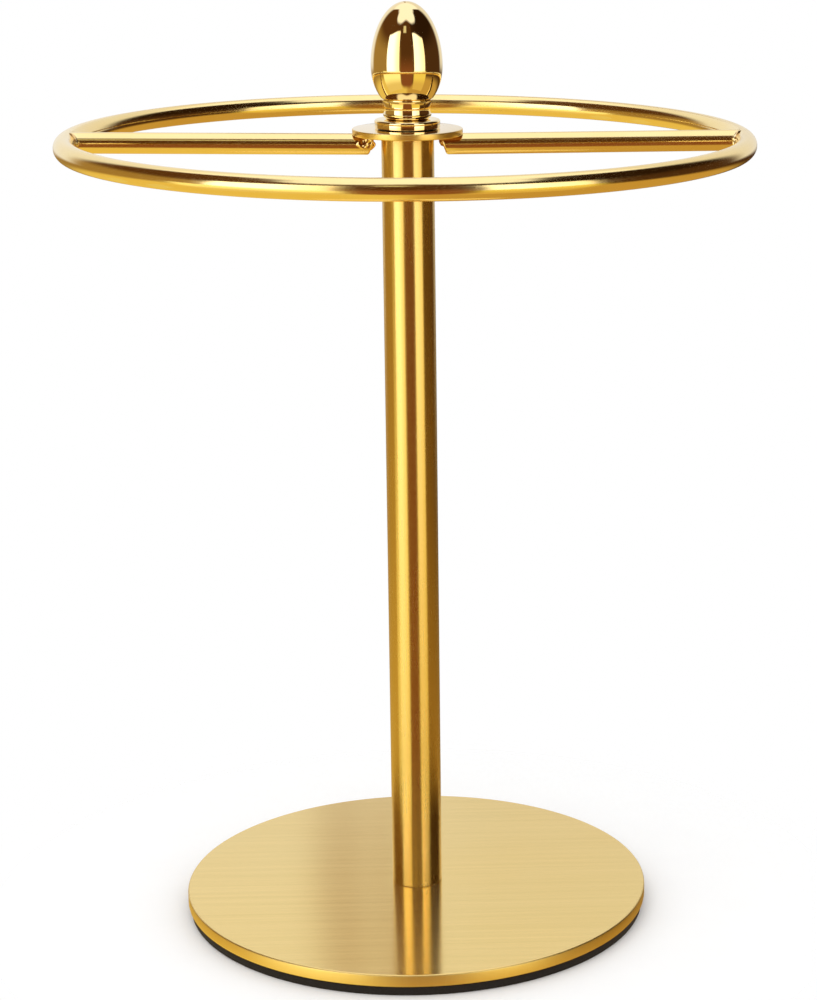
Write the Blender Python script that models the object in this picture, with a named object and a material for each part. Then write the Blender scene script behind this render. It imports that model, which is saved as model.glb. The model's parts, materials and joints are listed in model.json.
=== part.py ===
"""Rotating display rack: a ring on two spokes that turns at the head of a post on a round foot.

Sizes are in metres, with +Z up. The origin is the centre of the foot pad's underside, and the two
spokes lie along X. The ring, its spokes, the hub plate and the finial turn about Z with a spindle,
which runs in a small ball bearing and a guide bush. Both sit in a sleeve in the head of the post.
"""

import math

import bmesh
import bpy
from mathutils import Matrix

MM = 0.001

# Clearances
CONTACT_GAP = 0.1 * MM  # between pieces that rest on each other
FIT_GAP = 0.05 * MM  # around a round piece pressed or screwed into another
RUNNING_GAP = 0.08 * MM  # around the spindle where it turns in its bush
WASHER_GAP = 0.02 * MM  # above and below the thin washer under the finial

# Foot: a foam pad under a round plate, with a countersunk screw up into the post
PAD_RADIUS = 57.3 * MM
PAD_THICKNESS = 2.4 * MM
PAD_HOLE_RADIUS = 12 * MM
PLATE_RADIUS = 58 * MM
PLATE_THICKNESS = 3 * MM
PLATE_EDGE = 0.4 * MM
FOOT_SCREW_RADIUS = 2.45 * MM
FOOT_SCREW_LENGTH = 14 * MM
FOOT_SCREW_HEAD_RADIUS = 4.75 * MM
FOOT_SCREW_HEAD_RIM = 0.2 * MM
FOOT_SCREW_CLEARANCE = 0.2 * MM
FOOT_SOCKET_ACROSS_FLATS = 3 * MM
FOOT_SOCKET_DEPTH = 1.6 * MM

# Post
POST_RADIUS = 6.25 * MM
POST_WALL = 0.7 * MM
POST_EDGE = 0.15 * MM
POST_TO_HUB_GAP = 0.4 * MM
PLUG_LENGTH = 15 * MM
PLUG_EDGE = 0.4 * MM

# Turning head
ROD_RADIUS = 2.5 * MM
RING_RADIUS = 80 * MM  # to the middle of the rod
RING_HEIGHT = 193.2 * MM  # to the middle of the rod
HUB_UNDERSIDE = 194.85 * MM
HUB_RADIUS = 13.05 * MM
HUB_THICKNESS = 1.5 * MM
HUB_EDGE = 0.2 * MM
SPOKE_INNER_END = 7.4 * MM  # at the rod's top; the end is cut at a slant
SPOKE_END_SLANT = 1.6 * MM  # how much farther out the end is at the rod's underside
SPOKE_OUTER_END = 79 * MM
SPOKE_CHAMFER = 0.5 * MM
SPOKE_FLAT = 0.3 * MM  # filed off the top of a spoke where it lies under the hub plate
WASHER_THICKNESS = 0.14 * MM
WASHER_RADIUS = 6.9 * MM

# Finial, with heights above its foot
FINIAL_FOOT_RADIUS = 7.75 * MM
FINIAL_FOOT_HEIGHT = 2 * MM
FINIAL_FOOT_TOP_EDGE = 0.6 * MM
FINIAL_FOOT_BOTTOM_EDGE = 0.15 * MM
FINIAL_NECK_RADIUS = 4.6 * MM
FINIAL_COLLAR_RADIUS = 5.7 * MM
FINIAL_WAIST_RADIUS = 5.5 * MM
FINIAL_COLLAR_BOTTOM = 3.2 * MM
FINIAL_COLLAR_TOP = 6.1 * MM
FINIAL_BEAD_RADIUS = 6.05 * MM
FINIAL_BEAD_THICKNESS = 0.9 * MM
EGG_RADIUS = 8.45 * MM
EGG_MIDDLE = 14.4 * MM
EGG_LOWER_HEIGHT = 10.8 * MM
EGG_UPPER_HEIGHT = 14.9 * MM
FINIAL_BORE_DEPTH = 11 * MM

# Spindle, which carries the head
STUD_RADIUS = 2.0 * MM
STUD_LENGTH = 10 * MM
FLANGE_RADIUS = 4.2 * MM
FLANGE_THICKNESS = 1.1 * MM
FLANGE_BOSS_RADIUS = 2.7 * MM
FLANGE_BOSS_HEIGHT = 0.35 * MM
JOURNAL_RADIUS = 1.97 * MM
THREAD_RADIUS = 1.9 * MM
THREAD_LENGTH = 7 * MM
THREAD_CHAMFER = 0.4 * MM

# Ball bearing, 4 mm bore, 9 mm outside and 4 mm wide
BEARING_RADIUS = 4.5 * MM
BEARING_WIDTH = 4 * MM
BEARING_CHAMFER = 0.15 * MM
OUTER_LAND_RADIUS = 3.75 * MM
INNER_LAND_RADIUS = 2.75 * MM
PITCH_RADIUS = 3.25 * MM
BALL_RADIUS = 0.794 * MM
BALL_COUNT = 7
RACEWAY_CLEARANCE = 0.056 * MM
POCKET_CLEARANCE = 0.09 * MM
CAGE_HALF_WIDTH = 0.38 * MM
CAGE_HALF_HEIGHT = 1.1 * MM
SHIELD_SEAT_RADIUS = 4.1 * MM
SHIELD_SEAT_DEPTH = 0.25 * MM
SHIELD_THICKNESS = 0.12 * MM
SHIELD_LIP_CLEARANCE = 0.1 * MM

# Sleeve and bush in the head of the post
SLEEVE_TOP_RECESS = 0.2 * MM
SLEEVE_LENGTH = 22.2 * MM
BEARING_POCKET_DEPTH = 5 * MM
SLEEVE_BORE_RADIUS = 3.2 * MM
BUSH_POCKET_DEPTH = 5.9 * MM
BUSH_RADIUS = 3.95 * MM
BUSH_LENGTH = 5.7 * MM
BUSH_FLANGE_RADIUS = 5.2 * MM
BUSH_FLANGE_THICKNESS = 1 * MM

# Washer and lock nut on the lower end of the spindle
SPINDLE_WASHER_RADIUS = 4.2 * MM
SPINDLE_WASHER_THICKNESS = 0.6 * MM
NUT_ACROSS_FLATS = 7 * MM
NUT_HEX_HEIGHT = 3.2 * MM
NUT_COLLAR_RADIUS = 3.1 * MM
NUT_COLLAR_HEIGHT = 1.6 * MM
INSERT_RADIUS = 2.6 * MM
INSERT_HEIGHT = 1.2 * MM

CUTTER_OVERRUN = 1 * MM  # how far a cutter reaches past the face it opens

# Facets around a full turn
BROAD_STEPS = 72
POST_STEPS = 48
ROUND_STEPS = 36
SMALL_STEPS = 24
ROD_STEPS = 16

# Heights that follow from the sizes above
PLATE_UNDERSIDE = PAD_THICKNESS + CONTACT_GAP
PLATE_TOP = PLATE_UNDERSIDE + PLATE_THICKNESS
POST_FOOT = PLATE_TOP + FIT_GAP
POST_HEAD = HUB_UNDERSIDE - POST_TO_HUB_GAP
POST_BORE_RADIUS = POST_RADIUS - POST_WALL
HUB_TOP = HUB_UNDERSIDE + HUB_THICKNESS
WASHER_UNDERSIDE = HUB_TOP + WASHER_GAP
FINIAL_FOOT = WASHER_UNDERSIDE + WASHER_THICKNESS + WASHER_GAP
SLEEVE_TOP = POST_HEAD - SLEEVE_TOP_RECESS
SLEEVE_FOOT = SLEEVE_TOP - SLEEVE_LENGTH
BEARING_MIDDLE = SLEEVE_TOP - BEARING_POCKET_DEPTH + FIT_GAP + BEARING_WIDTH / 2
FLANGE_TOP = HUB_UNDERSIDE - FIT_GAP
JOURNAL_TOP = FLANGE_TOP - FLANGE_THICKNESS - FLANGE_BOSS_HEIGHT
BUSH_FOOT = SLEEVE_FOOT - FIT_GAP - BUSH_FLANGE_THICKNESS
SPINDLE_WASHER_FOOT = BUSH_FOOT - CONTACT_GAP - SPINDLE_WASHER_THICKNESS
NUT_TOP = SPINDLE_WASHER_FOOT - FIT_GAP
SPINDLE_FOOT = NUT_TOP - THREAD_LENGTH
BORE_OVER_STUD = STUD_RADIUS + CONTACT_GAP
BORE_OVER_THREAD = THREAD_RADIUS + FIT_GAP


def clear_scene():
    for thing in list(bpy.data.objects):
        bpy.data.objects.remove(thing, do_unlink=True)


def finish(name, colour, roughness, metallic):
    """A Principled material with one colour, roughness and metallic value."""
    material = bpy.data.materials.new(name)
    material.use_nodes = True
    shader = material.node_tree.nodes["Principled BSDF"]
    shader.inputs["Base Color"].default_value = (*colour, 1)
    shader.inputs["Roughness"].default_value = roughness
    shader.inputs["Metallic"].default_value = metallic
    material.diffuse_color = (*colour, 1)
    return material


def axis_empty(name, height):
    """An empty on the rack's vertical axis, which parts of one moving body hang from."""
    empty = bpy.data.objects.new(name, None)
    empty.location = (0, 0, height)
    empty.empty_display_size = 10 * MM
    bpy.context.collection.objects.link(empty)
    return empty


def object_from(shape, name, material=None, smooth_below=35):
    """Turns a bmesh into an object, with edges sharper than smooth_below degrees kept crisp."""
    bmesh.ops.recalc_face_normals(shape, faces=shape.faces)
    mesh = bpy.data.meshes.new(name)
    shape.to_mesh(mesh)
    shape.free()
    mesh.shade_smooth()
    mesh.set_sharp_from_angle(angle=math.radians(smooth_below))
    made = bpy.data.objects.new(name, mesh)
    bpy.context.collection.objects.link(made)
    if material:
        mesh.materials.append(material)
    return made


def place(made, parent, height=0.0):
    """Hangs an object from an empty, with its origin at a height above the rack's underside."""
    made.parent = parent
    made.location = (0, 0, height - parent.location.z)
    return made


def turned(name, profile, material=None, steps=ROUND_STEPS, closed=True):
    """Spins a profile of (radius, height) points about Z. An open profile ends on the axis."""
    shape = bmesh.new()
    points = [shape.verts.new((radius, 0, height)) for radius, height in profile]
    edges = [shape.edges.new(pair) for pair in zip(points, points[1:])]
    if closed:
        edges.append(shape.edges.new((points[-1], points[0])))
    bmesh.ops.spin(
        shape,
        geom=points + edges,
        cent=(0, 0, 0),
        axis=(0, 0, 1),
        angle=math.tau,
        steps=steps,
        use_merge=True,
    )
    bmesh.ops.remove_doubles(shape, verts=shape.verts, dist=0.001 * MM)
    return object_from(shape, name, material)


def sleeve_profile(inner, outer, bottom, top):
    """The rectangular section of a plain ring."""
    return [(outer, top), (outer, bottom), (inner, bottom), (inner, top)]


def arc(centre, radii, start, end, steps):
    """Points on an ellipse from one angle to another, in degrees from the outward direction."""
    angles = [math.radians(start + (end - start) * i / steps) for i in range(steps + 1)]
    return [
        (centre[0] + radii[0] * math.cos(a), centre[1] + radii[1] * math.sin(a))
        for a in angles
    ]


def ease_edges(made, width):
    """Takes the crisp edges off a piece."""
    bevel = made.modifiers.new("eased edges", "BEVEL")
    bevel.width = width
    bevel.segments = 1
    bevel.limit_method = "ANGLE"
    bevel.angle_limit = math.radians(40)
    return made


def combine(made, tool, operation):
    """Joins or cuts a piece with a helper that is itself left out of the object."""
    boolean = made.modifiers.new(tool.name, "BOOLEAN")
    boolean.operation = operation
    boolean.solver = "EXACT"
    boolean.object = tool
    tool.hide_render = True
    tool.display_type = "WIRE"
    return made


def hexagon(name, across_flats, bottom, top, material=None):
    """An upright six-sided prism."""
    shape = bmesh.new()
    corner_radius = across_flats / math.sqrt(3)
    bmesh.ops.create_cone(
        shape,
        cap_ends=True,
        segments=6,
        radius1=corner_radius,
        radius2=corner_radius,
        depth=top - bottom,
        matrix=Matrix.Translation((0, 0, (top + bottom) / 2)),
    )
    return object_from(shape, name, material)


def base_pad(stand, foam):
    section = sleeve_profile(PAD_HOLE_RADIUS, PAD_RADIUS, 0, PAD_THICKNESS)
    return place(turned("base_pad", section, foam, BROAD_STEPS), stand)


def base_plate(stand, brushed):
    """The weighted plate, countersunk from below for its screw."""
    hole = FOOT_SCREW_RADIUS + FOOT_SCREW_CLEARANCE
    mouth = FOOT_SCREW_HEAD_RADIUS + FOOT_SCREW_CLEARANCE
    cone_top = FOOT_SCREW_HEAD_RIM + mouth - hole
    section = [
        (PLATE_RADIUS - PLATE_EDGE, PLATE_THICKNESS),
        (PLATE_RADIUS, PLATE_THICKNESS - PLATE_EDGE),
        (PLATE_RADIUS, PLATE_EDGE / 2),
        (PLATE_RADIUS - PLATE_EDGE / 2, 0),
        (mouth, 0),
        (mouth, FOOT_SCREW_HEAD_RIM),
        (hole, cone_top),
        (hole, PLATE_THICKNESS),
    ]
    plate = turned("base_plate", section, brushed, BROAD_STEPS)
    return place(plate, stand, PLATE_UNDERSIDE)


def base_screw(stand, dark_steel):
    """A countersunk screw with a hexagon socket, its head down."""
    cone_top = FOOT_SCREW_HEAD_RIM + FOOT_SCREW_HEAD_RADIUS - FOOT_SCREW_RADIUS
    section = [
        (0, FOOT_SCREW_LENGTH),
        (FOOT_SCREW_RADIUS - THREAD_CHAMFER, FOOT_SCREW_LENGTH),
        (FOOT_SCREW_RADIUS, FOOT_SCREW_LENGTH - THREAD_CHAMFER),
        (FOOT_SCREW_RADIUS, cone_top),
        (FOOT_SCREW_HEAD_RADIUS, FOOT_SCREW_HEAD_RIM),
        (FOOT_SCREW_HEAD_RADIUS, 0),
        (0, 0),
    ]
    screw = turned("base_screw", section, dark_steel, SMALL_STEPS, closed=False)
    socket = hexagon("screw_socket", FOOT_SOCKET_ACROSS_FLATS, -FOOT_SOCKET_DEPTH, FOOT_SOCKET_DEPTH)
    height = PLATE_UNDERSIDE + CONTACT_GAP
    place(socket, stand, height)
    return place(combine(screw, socket, "DIFFERENCE"), stand, height)


def post_foot_plug(stand, bare_steel):
    """The tapped plug in the foot of the post that the foot screw pulls on."""
    radius = POST_BORE_RADIUS - FIT_GAP
    section = [
        (radius - PLUG_EDGE, PLUG_LENGTH),
        (radius, PLUG_LENGTH - PLUG_EDGE),
        (radius, PLUG_EDGE),
        (radius - PLUG_EDGE, 0),
        (FOOT_SCREW_RADIUS + FIT_GAP, 0),
        (FOOT_SCREW_RADIUS + FIT_GAP, PLUG_LENGTH),
    ]
    return place(turned("post_foot_plug", section, bare_steel, SMALL_STEPS), stand, POST_FOOT)


def post_tube(stand, brushed):
    section = sleeve_profile(POST_BORE_RADIUS, POST_RADIUS, 0, POST_HEAD - POST_FOOT)
    tube = turned("post_tube", section, brushed, POST_STEPS)
    return place(ease_edges(tube, POST_EDGE), stand, POST_FOOT)


def head_sleeve(stand, bare_steel):
    """The sleeve with a pocket for the bearing at its head and one for the bush at its foot."""
    radius = POST_BORE_RADIUS - FIT_GAP
    bearing_pocket = BEARING_RADIUS + FIT_GAP
    bush_pocket = BUSH_RADIUS + FIT_GAP
    shoulder = SLEEVE_LENGTH - BEARING_POCKET_DEPTH
    section = [
        (radius, SLEEVE_LENGTH),
        (radius, PLUG_EDGE),
        (radius - PLUG_EDGE, 0),
        (bush_pocket, 0),
        (bush_pocket, BUSH_POCKET_DEPTH),
        (SLEEVE_BORE_RADIUS, BUSH_POCKET_DEPTH),
        (SLEEVE_BORE_RADIUS, shoulder),
        (bearing_pocket, shoulder),
        (bearing_pocket, SLEEVE_LENGTH),
    ]
    return place(turned("head_sleeve", section, bare_steel), stand, SLEEVE_FOOT)


def guide_bush(stand, nylon):
    """The flanged bush that steadies the lower end of the spindle."""
    bore = JOURNAL_RADIUS + RUNNING_GAP
    section = [
        (BUSH_RADIUS, BUSH_FLANGE_THICKNESS + BUSH_LENGTH),
        (BUSH_RADIUS, BUSH_FLANGE_THICKNESS),
        (BUSH_FLANGE_RADIUS, BUSH_FLANGE_THICKNESS),
        (BUSH_FLANGE_RADIUS, 0),
        (bore, 0),
        (bore, BUSH_FLANGE_THICKNESS + BUSH_LENGTH),
    ]
    return place(turned("guide_bush", section, nylon, SMALL_STEPS), stand, BUSH_FOOT)


def raceway(land_radius, facing, steps=5):
    """The groove that the balls run in, from its lower edge to its upper edge.

    facing is 1 for the outer race, whose groove lies outside the pitch circle, and -1 for the inner.
    """
    radius = BALL_RADIUS + RACEWAY_CLEARANCE
    depth = abs(land_radius - PITCH_RADIUS)
    half_angle = math.degrees(math.acos(depth / radius))
    groove = arc((PITCH_RADIUS, 0), (radius, radius), -half_angle, half_angle, steps)
    return [(PITCH_RADIUS + facing * (r - PITCH_RADIUS), z) for r, z in groove]


def bearing_outer_race(stand, bearing_steel):
    half = BEARING_WIDTH / 2
    seat = half - SHIELD_SEAT_DEPTH
    section = [
        (BEARING_RADIUS - BEARING_CHAMFER, half),
        (BEARING_RADIUS, half - BEARING_CHAMFER),
        (BEARING_RADIUS, BEARING_CHAMFER - half),
        (BEARING_RADIUS - BEARING_CHAMFER, -half),
        (SHIELD_SEAT_RADIUS, -half),
        (SHIELD_SEAT_RADIUS, -seat),
        (OUTER_LAND_RADIUS, -seat),
        *raceway(OUTER_LAND_RADIUS, 1),
        (OUTER_LAND_RADIUS, seat),
        (SHIELD_SEAT_RADIUS, seat),
        (SHIELD_SEAT_RADIUS, half),
    ]
    return place(turned("bearing_outer_race", section, bearing_steel), stand, BEARING_MIDDLE)


def bearing_inner_race(head, bearing_steel):
    half = BEARING_WIDTH / 2
    bore = JOURNAL_RADIUS + FIT_GAP
    section = [
        (INNER_LAND_RADIUS, half),
        *reversed(raceway(INNER_LAND_RADIUS, -1)),
        (INNER_LAND_RADIUS, -half),
        (bore + BEARING_CHAMFER, -half),
        (bore, BEARING_CHAMFER - half),
        (bore, half - BEARING_CHAMFER),
        (bore + BEARING_CHAMFER, half),
    ]
    race = turned("bearing_inner_race", section, bearing_steel, SMALL_STEPS)
    return place(race, head, BEARING_MIDDLE)


def bearing_shield(name, side, stand, bearing_steel):
    """A thin ring that closes one face of the bearing. side is 1 for the top and -1 for the bottom."""
    inner = INNER_LAND_RADIUS + SHIELD_LIP_CLEARANCE
    outer = SHIELD_SEAT_RADIUS - FIT_GAP
    half = SHIELD_THICKNESS / 2
    shield = turned(name, sleeve_profile(inner, outer, -half, half), bearing_steel, SMALL_STEPS)
    return place(shield, stand, BEARING_MIDDLE + side * (BEARING_WIDTH - SHIELD_SEAT_DEPTH) / 2)


def ball(name, radius, material=None):
    shape = bmesh.new()
    bmesh.ops.create_uvsphere(shape, u_segments=12, v_segments=7, radius=radius)
    return object_from(shape, name, material)


def bearing_cage(cage, brass):
    """The ring that spaces the balls, with a round pocket cut through it for each one."""
    section = sleeve_profile(
        PITCH_RADIUS - CAGE_HALF_WIDTH,
        PITCH_RADIUS + CAGE_HALF_WIDTH,
        -CAGE_HALF_HEIGHT,
        CAGE_HALF_HEIGHT,
    )
    ring = turned("bearing_cage", section, brass, BALL_COUNT * 6)
    for i in range(BALL_COUNT):
        pocket = ball(f"cage_pocket_{i + 1}", BALL_RADIUS + POCKET_CLEARANCE)
        put_on_pitch_circle(pocket, i, cage)
        combine(ring, pocket, "DIFFERENCE")
    return place(ring, cage, BEARING_MIDDLE)


def put_on_pitch_circle(made, index, cage):
    turn = math.tau * index / BALL_COUNT
    made.parent = cage
    made.rotation_euler.z = turn
    made.location = (PITCH_RADIUS * math.cos(turn), PITCH_RADIUS * math.sin(turn), 0)
    return made


def bearing_balls(cage, bearing_steel):
    for i in range(BALL_COUNT):
        put_on_pitch_circle(ball(f"bearing_ball_{i + 1}", BALL_RADIUS, bearing_steel), i, cage)


def spindle(head, bare_steel):
    """The pin that turns: a stud up into the finial, a flange under the hub and a long journal."""
    stud_top = FLANGE_TOP + STUD_LENGTH
    flange_foot = FLANGE_TOP - FLANGE_THICKNESS
    profile = [
        (0, stud_top),
        (STUD_RADIUS - THREAD_CHAMFER, stud_top),
        (STUD_RADIUS, stud_top - THREAD_CHAMFER),
        (STUD_RADIUS, FLANGE_TOP),
        (FLANGE_RADIUS, FLANGE_TOP),
        (FLANGE_RADIUS, flange_foot),
        (FLANGE_BOSS_RADIUS, flange_foot),
        (FLANGE_BOSS_RADIUS, JOURNAL_TOP),
        (JOURNAL_RADIUS, JOURNAL_TOP),
        (JOURNAL_RADIUS, BUSH_FOOT),
        (THREAD_RADIUS, BUSH_FOOT),
        (THREAD_RADIUS, SPINDLE_FOOT + THREAD_CHAMFER),
        (THREAD_RADIUS - THREAD_CHAMFER, SPINDLE_FOOT),
        (0, SPINDLE_FOOT),
    ]
    from_hub = [(radius, height - HUB_UNDERSIDE) for radius, height in profile]
    pin = turned("spindle", from_hub, bare_steel, SMALL_STEPS, closed=False)
    return place(pin, head, HUB_UNDERSIDE)


def spindle_washer(head, bare_steel):
    section = sleeve_profile(BORE_OVER_THREAD, SPINDLE_WASHER_RADIUS, 0, SPINDLE_WASHER_THICKNESS)
    washer = turned("spindle_washer", section, bare_steel, SMALL_STEPS)
    return place(washer, head, SPINDLE_WASHER_FOOT)


def lock_nut(head, bare_steel):
    """A hexagon nut with a round collar below it, bored for the thread and for its locking ring."""
    nut = hexagon("lock_nut", NUT_ACROSS_FLATS, -NUT_HEX_HEIGHT, 0, bare_steel)
    foot = -NUT_HEX_HEIGHT - NUT_COLLAR_HEIGHT
    collar_top = -NUT_HEX_HEIGHT / 2
    collar_section = [(0, collar_top), (NUT_COLLAR_RADIUS, collar_top), (NUT_COLLAR_RADIUS, foot), (0, foot)]
    collar = turned("nut_collar", collar_section, None, SMALL_STEPS, closed=False)
    recess = INSERT_RADIUS + FIT_GAP
    recess_top = foot + INSERT_HEIGHT + CONTACT_GAP
    bore_section = [
        (0, CUTTER_OVERRUN),
        (BORE_OVER_THREAD, CUTTER_OVERRUN),
        (BORE_OVER_THREAD, recess_top),
        (recess, recess_top),
        (recess, foot - CUTTER_OVERRUN),
        (0, foot - CUTTER_OVERRUN),
    ]
    bore = turned("nut_bore", bore_section, None, SMALL_STEPS, closed=False)
    for tool in (collar, bore):
        place(tool, head, NUT_TOP)
    combine(nut, collar, "UNION")
    combine(nut, bore, "DIFFERENCE")
    return place(nut, head, NUT_TOP)


def lock_nut_insert(head, nylon):
    """The nylon ring that grips the thread."""
    section = sleeve_profile(BORE_OVER_THREAD, INSERT_RADIUS, 0, INSERT_HEIGHT)
    insert = turned("lock_nut_insert", section, nylon, SMALL_STEPS)
    return place(insert, head, NUT_TOP - NUT_HEX_HEIGHT - NUT_COLLAR_HEIGHT + FIT_GAP)


def display_ring(head, polished):
    """A round rod bent into a full circle."""
    place(ring_of_rod("display_ring", ROD_RADIUS, polished), head, RING_HEIGHT)


def ring_of_rod(name, rod_radius, material=None):
    shape = bmesh.new()
    bmesh.ops.create_circle(
        shape,
        segments=ROD_STEPS,
        radius=rod_radius,
        matrix=Matrix.Translation((RING_RADIUS, 0, 0)) @ Matrix.Rotation(math.pi / 2, 4, "X"),
    )
    bmesh.ops.spin(
        shape,
        geom=shape.verts[:] + shape.edges[:],
        cent=(0, 0, 0),
        axis=(0, 0, 1),
        angle=math.tau,
        steps=BROAD_STEPS,
        use_merge=True,
    )
    return object_from(shape, name, material)


def spoke(name, side, head, polished):
    """A straight rod from under the hub plate to the ring's inner side, coped to fit the ring.

    side is 1 for the spoke towards +X and -1 for the one towards -X.
    """
    weld_height = HUB_UNDERSIDE + SPOKE_FLAT - ROD_RADIUS
    rise = (RING_HEIGHT - weld_height) / (RING_RADIUS - HUB_RADIUS)
    slope = math.atan(rise)
    length = (SPOKE_OUTER_END - SPOKE_INNER_END) / math.cos(slope)
    shape = bmesh.new()
    along_x = Matrix.Rotation(math.pi / 2, 4, "Y")
    bmesh.ops.create_cone(
        shape,
        cap_ends=True,
        segments=ROD_STEPS,
        radius1=ROD_RADIUS,
        radius2=ROD_RADIUS,
        depth=length,
        matrix=Matrix.Translation((length / 2, 0, 0)) @ along_x,
    )
    for vert in shape.verts:
        if vert.co.x < length / 2:
            vert.co.x += SPOKE_END_SLANT * (1 - vert.co.z / ROD_RADIUS) / 2
    inner_end = [e for e in shape.edges if all(v.co.x < length / 2 for v in e.verts)]
    bmesh.ops.bevel(
        shape,
        geom=inner_end,
        offset=SPOKE_CHAMFER,
        offset_type="OFFSET",
        segments=1,
        affect="EDGES",
    )
    rod = object_from(shape, name, polished)
    rod.parent = head
    foot_height = weld_height - rise * (HUB_RADIUS - SPOKE_INNER_END)
    rod.location = (side * SPOKE_INNER_END, 0, foot_height - head.location.z)
    rod.rotation_euler = (0, -slope, 0 if side > 0 else math.pi)
    cope = ring_of_rod(f"{name}_cope", ROD_RADIUS + CONTACT_GAP)
    place(cope, head, RING_HEIGHT)
    combine(rod, cope, "DIFFERENCE")
    under_hub = sleeve_profile(SPOKE_INNER_END / 2, HUB_RADIUS + CONTACT_GAP, -CONTACT_GAP, HUB_THICKNESS)
    flat = turned(f"{name}_flat", under_hub)
    place(flat, head, HUB_UNDERSIDE)
    return combine(rod, flat, "DIFFERENCE")


def hub_plate(head, polished):
    section = sleeve_profile(BORE_OVER_STUD, HUB_RADIUS, 0, HUB_THICKNESS)
    plate = turned("hub_plate", section, polished, POST_STEPS)
    return place(ease_edges(plate, HUB_EDGE), head, HUB_UNDERSIDE)


def finial_washer(head, fibre):
    section = sleeve_profile(BORE_OVER_STUD, WASHER_RADIUS, 0, WASHER_THICKNESS)
    return place(turned("finial_washer", section, fibre, ROUND_STEPS), head, WASHER_UNDERSIDE)


def finial_profile():
    """From the egg's tip down its outer side to the foot, then up the threaded bore."""
    bead_half = FINIAL_BEAD_THICKNESS / 2
    bead_centre = (FINIAL_BEAD_RADIUS - bead_half, FINIAL_COLLAR_TOP + bead_half)
    cup_drop = EGG_MIDDLE - FINIAL_COLLAR_TOP - FINIAL_BEAD_THICKNESS
    cup_angle = math.degrees(math.asin(cup_drop / EGG_LOWER_HEIGHT))
    waist_height = (FINIAL_COLLAR_BOTTOM + FINIAL_COLLAR_TOP) / 2
    bowl_radii = (FINIAL_COLLAR_RADIUS - FINIAL_NECK_RADIUS, FINIAL_COLLAR_BOTTOM - FINIAL_FOOT_HEIGHT)
    top_edge = (FINIAL_FOOT_TOP_EDGE, FINIAL_FOOT_TOP_EDGE)
    top_edge_centre = (FINIAL_FOOT_RADIUS - top_edge[0], FINIAL_FOOT_HEIGHT - top_edge[1])
    return [
        *arc((0, EGG_MIDDLE), (EGG_RADIUS, EGG_UPPER_HEIGHT), 90, 0, 11),
        *arc((0, EGG_MIDDLE), (EGG_RADIUS, EGG_LOWER_HEIGHT), 0, -cup_angle, 4)[1:],
        *arc(bead_centre, (bead_half, bead_half), 60, -90, 4),
        (FINIAL_WAIST_RADIUS, waist_height),
        *arc((FINIAL_NECK_RADIUS, FINIAL_COLLAR_BOTTOM), bowl_radii, 0, -80, 4),
        *arc(top_edge_centre, top_edge, 90, 0, 3),
        (FINIAL_FOOT_RADIUS, FINIAL_FOOT_BOTTOM_EDGE),
        (FINIAL_FOOT_RADIUS - FINIAL_FOOT_BOTTOM_EDGE, 0),
        (BORE_OVER_STUD, 0),
        (BORE_OVER_STUD, FINIAL_BORE_DEPTH),
        (0, FINIAL_BORE_DEPTH + BORE_OVER_STUD / 2),
    ]


def finial(head, polished):
    knob = turned("finial", finial_profile(), polished, ROUND_STEPS, closed=False)
    return place(knob, head, FINIAL_FOOT)


def build():
    clear_scene()
    foam = finish("black_foam", (0.02, 0.018, 0.02), 0.95, 0.0)
    brushed = finish("brushed_gold", (0.72, 0.50, 0.20), 0.32, 1.0)
    polished = finish("polished_gold", (0.86, 0.60, 0.20), 0.10, 1.0)
    bare_steel = finish("bare_steel", (0.55, 0.56, 0.58), 0.35, 1.0)
    dark_steel = finish("dark_steel", (0.08, 0.08, 0.085), 0.45, 1.0)
    bearing_steel = finish("bearing_steel", (0.65, 0.66, 0.68), 0.12, 1.0)
    brass = finish("cage_brass", (0.75, 0.52, 0.22), 0.30, 1.0)
    fibre = finish("black_fibre", (0.03, 0.025, 0.022), 0.8, 0.0)
    nylon = finish("white_nylon", (0.80, 0.79, 0.75), 0.50, 0.0)

    stand = axis_empty("stand_axis", 0)
    head = axis_empty("head_spin_axis", HUB_UNDERSIDE)
    cage = axis_empty("cage_spin_axis", BEARING_MIDDLE)

    base_pad(stand, foam)
    base_plate(stand, brushed)
    base_screw(stand, dark_steel)
    post_foot_plug(stand, bare_steel)
    post_tube(stand, brushed)
    head_sleeve(stand, bare_steel)
    guide_bush(stand, nylon)
    bearing_outer_race(stand, bearing_steel)
    bearing_shield("bearing_shield_top", 1, stand, bearing_steel)
    bearing_shield("bearing_shield_bottom", -1, stand, bearing_steel)

    bearing_cage(cage, brass)
    bearing_balls(cage, bearing_steel)

    bearing_inner_race(head, bearing_steel)
    spindle(head, bare_steel)
    spindle_washer(head, bare_steel)
    lock_nut(head, bare_steel)
    lock_nut_insert(head, nylon)
    display_ring(head, polished)
    spoke("spoke_left", -1, head, polished)
    spoke("spoke_right", 1, head, polished)
    hub_plate(head, polished)
    finial_washer(head, fibre)
    finial(head, polished)


build()
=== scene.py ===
"""Looks for the rotating display rack: fine turned meshes, gold finishes, a pale studio and a camera.

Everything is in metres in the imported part's own frame: +Z up, the post's axis at X = Y = 0, the two
spokes along X and the camera in front, on the -Y side.
"""

import json
import math

import bmesh
import bpy
from mathutils import Matrix, Vector, noise


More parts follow.
